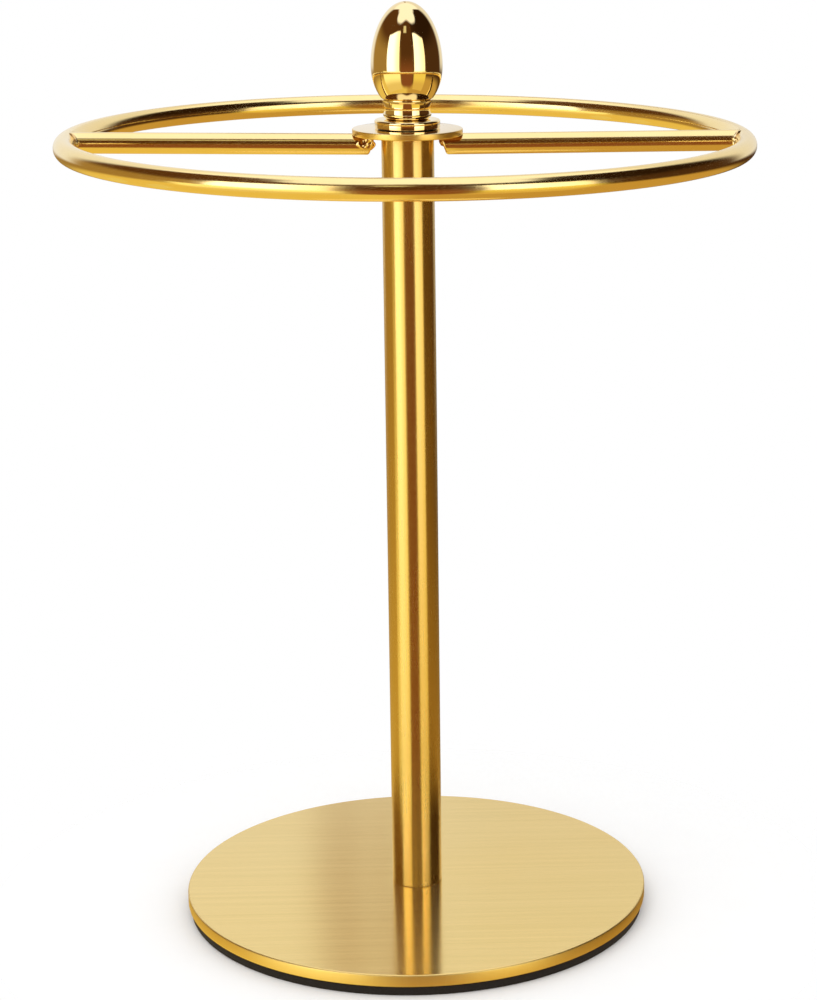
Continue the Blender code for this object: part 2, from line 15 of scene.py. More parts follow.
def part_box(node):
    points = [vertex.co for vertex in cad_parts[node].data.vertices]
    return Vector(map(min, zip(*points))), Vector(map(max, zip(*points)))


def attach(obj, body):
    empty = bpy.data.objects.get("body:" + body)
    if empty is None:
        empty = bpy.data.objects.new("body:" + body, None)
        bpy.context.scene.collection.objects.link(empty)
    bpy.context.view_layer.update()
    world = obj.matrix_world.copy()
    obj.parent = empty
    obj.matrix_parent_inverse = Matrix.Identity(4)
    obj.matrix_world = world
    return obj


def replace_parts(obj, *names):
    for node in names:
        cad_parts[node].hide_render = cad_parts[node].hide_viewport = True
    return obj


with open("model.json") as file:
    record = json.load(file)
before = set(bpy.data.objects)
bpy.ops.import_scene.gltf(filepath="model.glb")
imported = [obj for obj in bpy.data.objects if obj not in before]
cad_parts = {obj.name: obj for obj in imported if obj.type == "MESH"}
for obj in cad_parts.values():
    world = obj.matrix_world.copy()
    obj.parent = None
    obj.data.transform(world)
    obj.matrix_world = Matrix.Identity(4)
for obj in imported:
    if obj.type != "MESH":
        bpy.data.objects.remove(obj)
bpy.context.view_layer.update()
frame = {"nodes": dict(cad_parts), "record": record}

MM = 0.001
BROAD_STEPS = 256
ROUND_STEPS = 160
ROD_STEPS = 56

# Edges that the coarse CAD solids only hint at
PLATE_EDGE = 0.45 * MM
HUB_EDGE = 0.22 * MM
POST_EDGE = 0.2 * MM
PAD_EDGE = 0.35 * MM
SPOKE_EDGE = 0.5 * MM
SPOKE_END_SLANT = 1.6 * MM  # how much farther out a spoke's inner end is at its underside
SPOKE_REACH = 0.9 * MM  # how far short of the ring's own centre line a spoke ends, inside the weld

# Holes and clearances that the boxes of the CAD nodes don't give
PAD_HOLE_RADIUS = 12 * MM
PLATE_HOLE_RADIUS = 2.65 * MM
SCREW_HEAD_CLEARANCE = 0.2 * MM
SCREW_HEAD_RIM = 0.2 * MM
POST_WALL = 0.7 * MM
WASHER_EDGE = 0.04 * MM
SPOKE_SEAT = 0.3 * MM  # how far a spoke's top is let into the hub plate, at the plate's rim

# Welds
BEAD_SIDES = 12
BEAD_UNEVENNESS = 0.5
BEAD_BUMPS = 900  # how closely the bumps on a bead follow each other, per metre
RING_BEAD_THICKNESS = 0.55 * MM
HUB_BEAD_THICKNESS = 0.26 * MM

# Finial, with heights above its foot
FINIAL_FOOT_RADIUS = 7.75 * MM
FINIAL_FOOT_HEIGHT = 2 * MM
FINIAL_FOOT_TOP_EDGE = 0.6 * MM
FINIAL_FOOT_BOTTOM_EDGE = 0.15 * MM
FINIAL_NECK_RADIUS = 4.6 * MM
FINIAL_COLLAR_RADIUS = 5.7 * MM
FINIAL_WAIST = 0.2 * MM
FINIAL_COLLAR_BOTTOM = 3.2 * MM
FINIAL_COLLAR_TOP = 6.1 * MM
FINIAL_BEAD_RADIUS = 6.05 * MM
FINIAL_BEAD_THICKNESS = 0.9 * MM
EGG_RADIUS = 8.45 * MM
EGG_MIDDLE = 14.4 * MM
EGG_LOWER_HEIGHT = 10.8 * MM
STUD_HOLE_RADIUS = 2.1 * MM
STUD_HOLE_DEPTH = 11 * MM

# Camera
CAMERA_POINT = Vector((0, -0.62494, 0.27108))
CAMERA_DOWN = math.radians(15.573)
CAMERA_RIGHT = math.radians(3.505)
CAMERA_ROLL = math.radians(0.19)
FOCAL_LENGTH = 94.65
LENS_SHIFT = (-0.1594, 0.0328)

# Floor, in metres from the post's axis
FLOOR_RADIUS = 1.6
FLOOR_FADES_FROM = 0.066
FLOOR_GONE_AT = 0.13


# ---------------------------------------------------------------- node helpers


class Nodes:
    """Builds a node tree from short expressions. Each method returns the new node's output socket."""

    def __init__(self, tree):
        self.tree = tree
        self.tree.nodes.clear()

    def add(self, kind, inputs=None, **settings):
        node = self.tree.nodes.new(kind)
        for name, value in settings.items():
            setattr(node, name, value)
        for name, value in (inputs or {}).items():
            self.feed(node.inputs[name], value)
        return node

    def feed(self, socket, value):
        if isinstance(value, bpy.types.NodeSocket):
            self.tree.links.new(value, socket)
        else:
            socket.default_value = value

    def math(self, operation, *values):
        node = self.tree.nodes.new("ShaderNodeMath")
        node.operation = operation
        for socket, value in zip(node.inputs, values):
            self.feed(socket, value)
        return node.outputs[0]

    def ramp(self, value, low, high, at_low=0.0, at_high=1.0):
        """Goes smoothly from at_low to at_high as value goes from low to high."""
        node = self.tree.nodes.new("ShaderNodeMapRange")
        node.interpolation_type = "SMOOTHSTEP"
        names = ("Value", "From Min", "From Max", "To Min", "To Max")
        for name, given in zip(names, (value, low, high, at_low, at_high)):
            self.feed(node.inputs[name], given)
        return node.outputs["Result"]

    def band(self, value, low, high, soft):
        """1 between low and high, falling to 0 over the width soft outside them."""
        rise = self.ramp(value, low - soft, low)
        fall = self.ramp(value, high, high + soft, 1.0, 0.0)
        return self.math("MULTIPLY", rise, fall)

    def mix(self, share, first, second):
        """A colour between first, at share 0, and second, at share 1."""
        node = self.tree.nodes.new("ShaderNodeMix")
        node.data_type = "RGBA"
        self.feed(node.inputs[0], share)
        self.feed(node.inputs[6], first)
        self.feed(node.inputs[7], second)
        return node.outputs[2]

    def noise(self, coordinates, scale, detail=2.0, roughness=0.5):
        inputs = {"Vector": coordinates, "Scale": scale, "Detail": detail, "Roughness": roughness}
        return self.add("ShaderNodeTexNoise", inputs).outputs[0]

    def stretched(self, coordinates, stretch):
        return self.add("ShaderNodeMapping", {"Vector": coordinates, "Scale": stretch}).outputs[0]

    def object_position(self):
        return self.add("ShaderNodeTexCoord").outputs["Object"]

    def bump(self, height, strength, distance):
        inputs = {"Height": height, "Strength": strength, "Distance": distance}
        return self.add("ShaderNodeBump", inputs).outputs[0]

    def surface(self, **inputs):
        """A Principled surface, joined to the material's output."""
        named = {name.replace("_", " "): value for name, value in inputs.items()}
        shader = self.add("ShaderNodeBsdfPrincipled", named)
        self.add("ShaderNodeOutputMaterial", {"Surface": shader.outputs[0]})
        return shader


def new_material(name):
    material = bpy.data.materials.new(name)
    material.use_nodes = True
    return material, Nodes(material.node_tree)


def rgb(red, green, blue):
    return (red, green, blue, 1.0)


# ---------------------------------------------------------------- materials


def edge_wear(n):
    """1 on worn convex edges and 0 on open faces."""
    pointiness = n.add("ShaderNodeNewGeometry").outputs["Pointiness"]
    return n.ramp(pointiness, 0.52, 0.62)


def polished_gold(name, gloss, dark=(1.0, 0.76, 0.33), light=(1.0, 0.83, 0.43)):
    """Mirror-bright gold plate, clouded between two tints. gloss is its roughness where it is cleanest."""
    material, n = new_material(name)
    position = n.object_position()
    cloud = n.noise(position, 90.0, 3.0, 0.55)
    smudge = n.ramp(n.noise(position, 260.0, 4.0, 0.6), 0.45, 0.75)
    grain = n.noise(position, 5200.0, 2.0)
    colour = n.mix(cloud, rgb(*dark), rgb(*light))
    colour = n.mix(edge_wear(n), colour, rgb(1.0, 0.87, 0.55))
    roughness = n.math("MULTIPLY_ADD", smudge, 0.035, gloss)
    roughness = n.math("MULTIPLY_ADD", grain, 0.02, roughness)
    n.surface(
        Base_Color=colour,
        Metallic=1.0,
        Roughness=roughness,
        Normal=n.bump(n.noise(position, 1400.0, 3.0), 0.05, 0.02 * MM),
    )
    return material


def brushed_plate_gold():
    """Gold plate over fine straight brushing along X."""
    material, n = new_material("brushed_gold_straight")
    position = n.object_position()
    fine = n.noise(n.stretched(position, (18.0, 5200.0, 5200.0)), 1.0, 3.0, 0.65)
    broad = n.noise(n.stretched(position, (9.0, 700.0, 700.0)), 1.0, 2.0, 0.5)
    cloud = n.noise(position, 28.0, 3.0, 0.55)
    lines = n.math("MULTIPLY_ADD", broad, 0.5, n.math("MULTIPLY", fine, 0.5))
    colour = n.mix(n.ramp(lines, 0.2, 0.8), rgb(0.88, 0.665, 0.26), rgb(0.97, 0.75, 0.33))
    colour = n.mix(n.ramp(cloud, 0.35, 0.75, 0.0, 0.25), colour, rgb(0.90, 0.72, 0.33))
    roughness = n.math("MULTIPLY_ADD", lines, 0.06, 0.18)
    n.surface(
        Base_Color=colour,
        Metallic=1.0,
        Roughness=roughness,
        Anisotropic=1.0,
        Anisotropic_Rotation=0.25,
        Tangent=n.add("ShaderNodeCombineXYZ", {"X": 1.0}).outputs[0],
        Normal=n.bump(lines, 0.08, 0.03 * MM),
    )
    return material


def brushed_round_gold(name, roughness_low, spread, tints):
    """Gold plate with fine drawn lines up a turned piece. spread is how far its highlights run up it."""
    material, n = new_material(name)
    position = n.object_position()
    drawn = n.noise(n.stretched(position, (1500.0, 1500.0, 8.0)), 1.0, 2.0, 0.5)
    cloud = n.noise(position, 70.0, 3.0, 0.55)
    share = n.math("MULTIPLY_ADD", drawn, 0.4, n.math("MULTIPLY", cloud, 0.6))
    colour = n.mix(share, rgb(*tints[0]), rgb(*tints[1]))
    colour = n.mix(edge_wear(n), colour, rgb(1.0, 0.85, 0.50))
    n.surface(
        Base_Color=colour,
        Metallic=1.0,
        Roughness=n.math("MULTIPLY_ADD", share, 0.06, roughness_low),
        Anisotropic=spread,
        Anisotropic_Rotation=0.25,
        Tangent=n.add("ShaderNodeTangent", direction_type="RADIAL", axis="Z").outputs[0],
        Normal=n.bump(drawn, 0.03, 0.02 * MM),
    )
    return material


def black_foam():
    """Closed-cell foam: fine pits, a dusty sheen and slightly lighter cell walls."""
    material, n = new_material("black_foam")
    position = n.object_position()
    cells = n.add("ShaderNodeTexVoronoi", {"Vector": position, "Scale": 2600.0}).outputs["Distance"]
    dust = n.noise(position, 420.0, 4.0, 0.65)
    colour = n.mix(cells, rgb(0.005, 0.004, 0.004), rgb(0.014, 0.010, 0.010))
    colour = n.mix(n.ramp(dust, 0.55, 0.85, 0.0, 0.5), colour, rgb(0.026, 0.020, 0.020))
    n.surface(
        Base_Color=colour,
        Roughness=n.math("MULTIPLY_ADD", dust, 0.12, 0.82),
        Sheen_Weight=0.05,
        Normal=n.bump(cells, 0.7, 0.12 * MM),
    )
    return material


def plain_metal(name, first, second, roughness, turned_lines=True):
    """Bare metal with fine turning marks, or an even ground finish."""
    material, n = new_material(name)
    position = n.object_position()
    stretch = (120.0, 120.0, 7000.0) if turned_lines else (2500.0, 2500.0, 2500.0)
    marks = n.noise(n.stretched(position, stretch), 1.0, 3.0, 0.6)
    colour = n.mix(marks, rgb(*first), rgb(*second))
    n.surface(
        Base_Color=colour,
        Metallic=1.0,
        Roughness=n.math("MULTIPLY_ADD", marks, 0.12, roughness),
        Normal=n.bump(marks, 0.1, 0.02 * MM),
    )
    return material


def plain_plastic(name, first, second, roughness, grain_scale):
    """Moulded plastic or pressed fibre with a fine grain."""
    material, n = new_material(name)
    position = n.object_position()
    grain = n.noise(position, grain_scale, 4.0, 0.6)
    n.surface(
        Base_Color=n.mix(grain, rgb(*first), rgb(*second)),
        Roughness=n.math("MULTIPLY_ADD", grain, 0.15, roughness),
        Normal=n.bump(grain, 0.2, 0.03 * MM),
    )
    return material


# ---------------------------------------------------------------- shapes


def arc(centre, radii, start, end, steps):
    """Points on an ellipse from one angle to another, in degrees from the outward direction."""
    angles = [math.radians(start + (end - start) * i / steps) for i in range(steps + 1)]
    return [
        (centre[0] + radii[0] * math.cos(a), centre[1] + radii[1] * math.sin(a))
        for a in angles
    ]


def object_from(shape, name, material, body, smooth_below=40):
    """Turns a bmesh into a piece that rides on a CAD body, with the material it is given."""
    bmesh.ops.remove_doubles(shape, verts=shape.verts, dist=0.0005 * MM)
    bmesh.ops.recalc_face_normals(shape, faces=shape.faces)
    mesh = bpy.data.meshes.new(name)
    shape.to_mesh(mesh)
    shape.free()
    mesh.shade_smooth()
    mesh.set_sharp_from_angle(angle=math.radians(smooth_below))
    mesh.materials.append(material)
    piece = bpy.data.objects.new(name, mesh)
    bpy.context.scene.collection.objects.link(piece)
    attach(piece, body)
    return piece


def turned(profile, steps, closed=True):
    """Spins a profile of (radius, height) points about Z. An open profile ends on the axis."""
    shape = bmesh.new()
    points = [shape.verts.new((radius, 0, height)) for radius, height in profile]
    edges = [shape.edges.new(pair) for pair in zip(points, points[1:])]
    if closed:
        edges.append(shape.edges.new((points[-1], points[0])))
    bmesh.ops.spin(
        shape,
        geom=points + edges,
        cent=(0, 0, 0),
        axis=(0, 0, 1),
        angle=math.tau,
        steps=steps,
        use_merge=True,
    )
    return shape


def finish_sides(piece, material):
    """Gives the steep faces of a flat piece, its rim and its hole, a finish of their own."""
    piece.data.materials.append(material)
    for face in piece.data.polygons:
        if abs(face.normal.z) < 0.8:
            face.material_index = 1


def finish_underside(piece, material):
    """Gives the faces that look down a finish of their own."""
    piece.data.materials.append(material)
    for face in piece.data.polygons:
        if face.normal.z < -0.8:
            face.material_index = len(piece.data.materials) - 1


def sizes(node):
    """(outer radius, underside, top) of a round CAD node centred on the post's axis."""
    low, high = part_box(node)
    return high.x, low.z, high.z


def soft_ring(inner, outer, bottom, top, edge, steps=5):
    """The section of a ring whose outer edges, and inner ones, are rounded by edge."""
    return [
        *arc((outer - edge, top - edge), (edge, edge), 90, 0, steps),
        *arc((outer - edge, bottom + edge), (edge, edge), 0, -90, steps),
        *arc((inner + edge, bottom + edge), (edge, edge), -90, -180, steps),
        *arc((inner + edge, top - edge), (edge, edge), 180, 90, steps),
    ]


def foam_pad(material):
    """The foam ring under the foot plate."""
    radius, bottom, top = sizes("base_pad")
    shape = turned(soft_ring(PAD_HOLE_RADIUS, radius, bottom, top, PAD_EDGE), BROAD_STEPS)
    piece = object_from(shape, "foam_pad", material, "stand")
    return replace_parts(piece, "base_pad")


def foot_plate(material, rim_material):
    """The round plate, with a rounded rim and the countersunk hole under the post."""
    radius, bottom, top = sizes("base_plate")
    lower_edge = PLATE_EDGE / 2
    screw_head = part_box("base_screw")[1].x + SCREW_HEAD_CLEARANCE
    profile = [
        (PLATE_HOLE_RADIUS, top),
        *arc((radius - PLATE_EDGE, top - PLATE_EDGE), (PLATE_EDGE, PLATE_EDGE), 90, 0, 7),
        *arc((radius - lower_edge, bottom + lower_edge), (lower_edge, lower_edge), 0, -90, 4),
        (screw_head, bottom),
        (screw_head, bottom + SCREW_HEAD_RIM),
        (PLATE_HOLE_RADIUS, bottom + SCREW_HEAD_RIM + screw_head - PLATE_HOLE_RADIUS),
    ]
    shape = turned(profile, BROAD_STEPS)
    piece = object_from(shape, "foot_plate", material, "stand", smooth_below=60)
    finish_sides(piece, rim_material)
    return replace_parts(piece, "base_plate")


def post(material):
    """The tube between the foot plate and the hub plate."""
    radius, bottom, top = sizes("post_tube")
    shape = turned(soft_ring(radius - POST_WALL, radius, bottom, top, POST_EDGE), ROUND_STEPS)
    piece = object_from(shape, "post", material, "stand")
    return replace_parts(piece, "post_tube")


def hub(material, rim_material, shaded_underside_material):
    """The hub plate, with painted shade darkening the gold of its underside."""
    radius, bottom, top = sizes("hub_plate")
    shape = turned(soft_ring(STUD_HOLE_RADIUS, radius, bottom, top, HUB_EDGE), ROUND_STEPS)
    piece = object_from(shape, "hub", material, "rack_head")
    finish_sides(piece, rim_material)
    # Painted shade: the faces that look down take the dark maroon gold.
    finish_underside(piece, shaded_underside_material)
    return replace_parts(piece, "hub_plate")


def thin_washer(material):
    """The dark fibre washer between the finial and the hub plate."""
    radius, bottom, top = sizes("finial_washer")
    section = soft_ring(STUD_HOLE_RADIUS, radius, bottom, top, WASHER_EDGE, steps=3)
    shape = turned(section, ROUND_STEPS)
    piece = object_from(shape, "thin_washer", material, "rack_head")
    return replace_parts(piece, "finial_washer")


def finial_profile(height):
    """From the egg's tip down its outer side to the foot, then up the stud hole."""
    bead = FINIAL_BEAD_THICKNESS / 2
    bead_centre = (FINIAL_BEAD_RADIUS - bead, FINIAL_COLLAR_TOP + bead)
    cup_drop = EGG_MIDDLE - FINIAL_COLLAR_TOP - FINIAL_BEAD_THICKNESS
    cup_angle = math.degrees(math.asin(cup_drop / EGG_LOWER_HEIGHT))
    waist_centre = (FINIAL_COLLAR_RADIUS, (FINIAL_COLLAR_BOTTOM + FINIAL_COLLAR_TOP) / 2)
    waist_half = (FINIAL_COLLAR_TOP - FINIAL_COLLAR_BOTTOM) / 2
    bowl_radii = (FINIAL_COLLAR_RADIUS - FINIAL_NECK_RADIUS, FINIAL_COLLAR_BOTTOM - FINIAL_FOOT_HEIGHT)
    top_edge = (FINIAL_FOOT_TOP_EDGE, FINIAL_FOOT_TOP_EDGE)
    top_edge_centre = (FINIAL_FOOT_RADIUS - top_edge[0], FINIAL_FOOT_HEIGHT - top_edge[1])
    low_edge = (FINIAL_FOOT_BOTTOM_EDGE, FINIAL_FOOT_BOTTOM_EDGE)
    return [
        *arc((0, EGG_MIDDLE), (EGG_RADIUS, height - EGG_MIDDLE), 90, 0, 48),
        *arc((0, EGG_MIDDLE), (EGG_RADIUS, EGG_LOWER_HEIGHT), 0, -cup_angle, 24)[1:],
        *arc(bead_centre, (bead, bead), 60, -90, 12),
        *arc(waist_centre, (-FINIAL_WAIST, waist_half), 75, -75, 10),
        *arc((FINIAL_NECK_RADIUS, FINIAL_COLLAR_BOTTOM), bowl_radii, 0, -85, 12),
        *arc(top_edge_centre, top_edge, 90, 0, 8),
        *arc((FINIAL_FOOT_RADIUS - low_edge[0], low_edge[1]), low_edge, 0, -90, 4),
        (STUD_HOLE_RADIUS, 0),
        (STUD_HOLE_RADIUS, STUD_HOLE_DEPTH),
        (0, STUD_HOLE_DEPTH + STUD_HOLE_RADIUS / 2),
    ]


def egg_finial(material):
    """The egg, its collar, waist and foot, turned in one piece."""
    _, bottom, top = sizes("finial")
    shape = turned(finial_profile(top - bottom), ROUND_STEPS, closed=False)
    bmesh.ops.translate(shape, verts=shape.verts, vec=(0, 0, bottom))
    piece = object_from(shape, "egg_finial", material, "rack_head")
    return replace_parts(piece, "finial")


def ring_sizes():
    """(radius to the middle of the rod, height of its middle, radius of the rod)."""
    low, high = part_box("display_ring")
    rod = (high.z - low.z) / 2
    return high.x - rod, (high.z + low.z) / 2, rod


def round_ring(material):
    """The ring of round rod that the glasses hang on."""
    radius, height, rod = ring_sizes()
    section = arc((radius, height), (rod, rod), 0, 360 - 360 / ROD_STEPS, ROD_STEPS - 1)
    piece = object_from(turned(section, BROAD_STEPS), "round_ring", material, "rack_head")
    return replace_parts(piece, "display_ring")


def spoke_line(side):
    """(inner end, outer end) of a spoke's centre line. It leaves the hub a little lower than the ring."""
    radius, height, rod = ring_sizes()
    hub_radius, hub_underside, _ = sizes("hub_plate")
    low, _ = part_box("spoke_right")
    at_hub = hub_underside + SPOKE_SEAT - rod
    slope = (height - at_hub) / (radius - hub_radius)
    inner = Vector((side * low.x, 0, at_hub - slope * (hub_radius - low.x)))
    outer = Vector((side * (radius - SPOKE_REACH), 0, height - slope * SPOKE_REACH))
    return inner, outer


def round_spoke(name, side, node, material):
    """A straight rod, cut at a slant at its inner end and run into the ring's side at its outer end."""
    _, _, rod = ring_sizes()
    inner, outer = spoke_line(side)
    length = (outer - inner).length
    stations = 24
    profile = [
        (0, length),
        *[(rod, length + (SPOKE_EDGE - length) * i / stations) for i in range(stations)],
        *arc((rod - SPOKE_EDGE, SPOKE_EDGE), (SPOKE_EDGE, SPOKE_EDGE), 0, -90, 8),
        (0, 0),
    ]
    shape = turned(profile, ROD_STEPS, closed=False)
    turn = (outer - inner).to_track_quat("Z", "Y").to_matrix().to_4x4()
    bmesh.ops.transform(shape, matrix=Matrix.Translation(inner) @ turn, verts=shape.verts)
    slope = (outer.z - inner.z) / abs(outer.x - inner.x)
    for vert in shape.verts:
        along = abs(vert.co.x) - abs(inner.x)
        if along < length / 2:
            above = (vert.co.z - inner.z - slope * along) / rod
            vert.co.x += side * SPOKE_END_SLANT * (1 - above) / 2
    piece = object_from(shape, name, material, "rack_head")
    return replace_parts(piece, node)


def weld_bead(name, path, thickness, material, seed):
    """A rippled bead of weld along a path of points, drawn in at both ends."""
    shape = bmesh.new()
    rows = []
    for i, point in enumerate(path):
        ahead = path[min(i + 1, len(path) - 1)] - path[max(i - 1, 0)]
        turn = ahead.to_track_quat("Z", "Y").to_matrix()
        taper = math.sqrt(math.sin(math.pi * (i + 0.35) / (len(path) - 0.3)))
        row = []
        for k in range(BEAD_SIDES):
            angle = math.tau * k / BEAD_SIDES
            outward = turn @ Vector((math.cos(angle), math.sin(angle), 0))
            spot = point + outward * thickness
            lump = 1 + BEAD_UNEVENNESS * noise.noise(spot * BEAD_BUMPS + Vector((seed, 0, 0)))
            row.append(shape.verts.new(point + outward * thickness * taper * lump))
        rows.append(row)
    for first, second in zip(rows, rows[1:]):
        for k in range(BEAD_SIDES):
            beside = (k + 1) % BEAD_SIDES
            shape.faces.new((first[k], first[beside], second[beside], second[k]))
    shape.faces.new(rows[0][::-1])
    shape.faces.new(rows[-1])
    return object_from(shape, name, material, "rack_head", smooth_below=70)


def ring_weld(name, side, front, material, seed):
    """The bead round one flank of a spoke where it meets the ring."""
    radius, _, rod = ring_sizes()
    _, outer = spoke_line(side)
    gap_to_ring = 0.12 * MM
    stand_off = 1.03
    path = []
    for degrees in range(20, 161, 7):
        around = math.radians(degrees)
        off_axis = rod * math.sin(around) * front
        reach = radius - rod * abs(math.sin(around))
        along = math.sqrt(reach * reach - off_axis * off_axis) - gap_to_ring
        height = outer.z + rod * math.cos(around)
        path.append(Vector((side * along, off_axis * stand_off, height)))
    return weld_bead(name, path, RING_BEAD_THICKNESS, material, seed)


def hub_weld(name, side, front, material, seed):
    """The bead between a spoke's flank and the underside of the hub plate."""
    hub_radius, hub_underside, _ = sizes("hub_plate")
    _, _, rod = ring_sizes()
    inner, _ = spoke_line(side)
    start = abs(inner.x) + SPOKE_EDGE
    end = hub_radius - 1.6 * MM
    off_axis = front * rod * 0.50
    height = hub_underside - 0.16 * MM
    steps = 16
    path = []
    for i in range(steps + 1):
        along = start + (end - start) * i / steps
        path.append(Vector((side * along, off_axis, height)))
    return weld_bead(name, path, HUB_BEAD_THICKNESS, material, seed)


def weld_lump(name, centre, radii, material, seed):
    """A frozen splash of weld metal: a ball drawn out, with several rounded drops on it."""
    shape = bmesh.new()
    bmesh.ops.create_icosphere(shape, subdivisions=5, radius=1.0)
    drops = [noise.random_unit_vector(size=3) for _ in range(16)]
    drop_rim = 0.80
    for vert in shape.verts:
        direction = vert.co.normalized()
        swell = 1 + 0.16 * noise.noise(direction * 2.2 + Vector((seed, 0, 0)))
        for drop in drops:
            near = max(0.0, direction.dot(drop) - drop_rim) / (1 - drop_rim)
            swell += 0.26 * math.sqrt(near) * near
        vert.co = Vector(a * b for a, b in zip(direction * swell, radii)) + centre
    return object_from(shape, name, material, "rack_head", smooth_below=80)


def weld_splashes(shaded_dark_gold):
    """The big uneven lump of weld at the left spoke's inner end, and the small one at the right's."""
    noise.seed_set(7)
    inner, _ = spoke_line(-1)
    centre = inner + Vector((-2.6 * MM, -1.4 * MM, 0.3 * MM))
    splash_gold = polished_gold("polished_gold_splash", 0.10, (0.80, 0.52, 0.20), (1.0, 0.80, 0.40))
    weld_lump("hub_weld_lump", centre, (1.7 * MM, 1.2 * MM, 1.6 * MM), splash_gold, 4.0)
    inner, _ = spoke_line(1)
    centre = inner + Vector((0.7 * MM, -1.1 * MM, 0.9 * MM))
    # Painted shade: the small lump under the hub plate's rim takes the same dark gold as the plate's
    # underside.
    weld_lump("hub_weld_small_lump", centre, (0.8 * MM, 0.8 * MM, 1.1 * MM), shaded_dark_gold, 9.0)


# ---------------------------------------------------------------- stage, light and camera


def pale_floor():
    """A plain pale table top that fades out before it could show an edge."""
    shape = bmesh.new()
    bmesh.ops.create_circle(shape, cap_ends=True, segments=96, radius=FLOOR_RADIUS)
    mesh = bpy.data.meshes.new("floor")
    shape.to_mesh(mesh)
    shape.free()
    material, n = new_material("pale_floor")
    position = n.object_position()
    grain = n.noise(position, 60.0, 4.0)
    surface = n.add(
        "ShaderNodeBsdfPrincipled",
        {
            "Base Color": n.mix(grain, rgb(0.90, 0.90, 0.90), rgb(0.93, 0.93, 0.93)),
            "Roughness": 0.7,
            "Specular IOR Level": 0.0,
        },
    )
    distance = n.add("ShaderNodeVectorMath", {0: position}, operation="LENGTH").outputs["Value"]
    from_below = n.add("ShaderNodeNewGeometry").outputs["Backfacing"]
    gone = n.math("MAXIMUM", n.ramp(distance, FLOOR_FADES_FROM, FLOOR_GONE_AT), from_below)
    clear = n.add("ShaderNodeBsdfTransparent")
    blend = n.add("ShaderNodeMixShader", {0: gone, 1: surface.outputs[0], 2: clear.outputs[0]})
    n.add("ShaderNodeOutputMaterial", {"Surface": blend.outputs[0]})
    mesh.materials.append(material)
    floor = bpy.data.objects.new("floor", mesh)
    bpy.context.scene.collection.objects.link(floor)
    floor.visible_glossy = False


def dim_room(n, azimuth, elevation, aside):
    """A brown room, warmer at the left and darkest high up, with a redder part straight ahead."""
    rightward = n.ramp(azimuth, -60, 60)
    low_room = n.mix(rightward, rgb(0.36, 0.22, 0.06), rgb(0.07, 0.030, 0.010))
    high_room = n.mix(rightward, rgb(0.10, 0.040, 0.011), rgb(0.024, 0.010, 0.003))
    room = n.mix(n.ramp(elevation, 6, 26), low_room, high_room)
    middle = n.mix(n.ramp(elevation, -14, 12), rgb(0.24, 0.080, 0.024), rgb(0.09, 0.036, 0.010))
    return n.mix(n.band(aside, 0, 16, 8), room, middle)


def lit_table(n, colour, azimuth, elevation, aside):
    """The table below, with the yellow glow of each softbox on it, brightest nearest the box."""
    table = n.mix(n.ramp(azimuth, -9, 9), rgb(0.82, 0.60, 0.15), rgb(0.56, 0.34, 0.075))
    table_edge = n.math("SUBTRACT", elevation, n.ramp(aside, 20, 70, 0.0, 11.0))
    table_edge = n.math("ADD", table_edge, n.ramp(aside, 10, 30, 12.0, 0.0))
    colour = n.mix(n.ramp(table_edge, -37, -25, 1.0, 0.0), colour, table)
    beneath = n.band(elevation, -46, -10.5, 1.6)
    left_glow = n.math("MULTIPLY", n.band(azimuth, -80, -23, 4), beneath)
    right_glow = n.math("MULTIPLY", n.band(azimuth, 25, 63, 4), beneath)
    near_box = n.ramp(elevation, -36, -20)
    colour = n.mix(left_glow, colour, n.mix(near_box, rgb(0.84, 0.64, 0.22), rgb(1.22, 1.10, 0.50)))
    return n.mix(right_glow, colour, n.mix(near_box, rgb(0.74, 0.50, 0.12), rgb(0.92, 0.72, 0.15)))


def white_ceiling(n, colour, elevation, aside):
    """The ceiling, whose edge is highest at the sides and lowest behind the rack."""
    height_over = n.math("SUBTRACT", elevation, n.ramp(aside, 0, 34, 9.0, 0.0))
    height_over = n.math("SUBTRACT", height_over, n.ramp(aside, 44, 84, 0.0, 17.0))
    height_over = n.math("ADD", height_over, n.ramp(aside, 112, 140, 0.0, 26.0))
    return n.mix(n.ramp(height_over, 46, 54), colour, rgb(1.13, 1.13, 1.13))


def pale_backdrop(n, colour, split, elevation, aside):
    """The backdrop behind the rack, with a soft brown shade on it that has a paler streak down it."""
    behind = n.ramp(aside, 126, 142)
    low_behind = n.math("MULTIPLY", n.ramp(elevation, -11, -3), n.ramp(elevation, 40, 52, 1.0, 0.0))
    pale = n.mix(n.ramp(split["X"], -0.01, 0.05), rgb(0.90, 0.89, 0.88), rgb(0.84, 0.81, 0.76))
    colour = n.mix(n.math("MULTIPLY", behind, low_behind), colour, pale)
    sideways = n.math("DIVIDE", split["X"], n.math("MAXIMUM", split["Y"], 0.2))
    shade = n.math("MULTIPLY", n.band(sideways, -0.062, -0.012, 0.006), n.band(elevation, 22, 40, 5))
    shade = n.math("MULTIPLY", shade, behind)
    streak = n.band(sideways, -0.036, -0.026, 0.004)
    shade = n.math("MULTIPLY", shade, n.math("MULTIPLY_ADD", streak, -0.5, 1.0))
    return n.mix(shade, colour, rgb(0.40, 0.25, 0.14))


def softbox(n, colour, azimuth, elevation, sides, top, droop, white):
    """A tall softbox between two sides. Its top edge is brought down by droop."""
    above_table = n.ramp(elevation, -11.5, -9.5)
    below_top = n.ramp(n.math("ADD", elevation, droop), top, top + 3, 1.0, 0.0)
    box = n.math("MULTIPLY", n.band(azimuth, *sides, 2.5), above_table)
    return n.mix(n.math("MULTIPLY", box, below_top), colour, white)


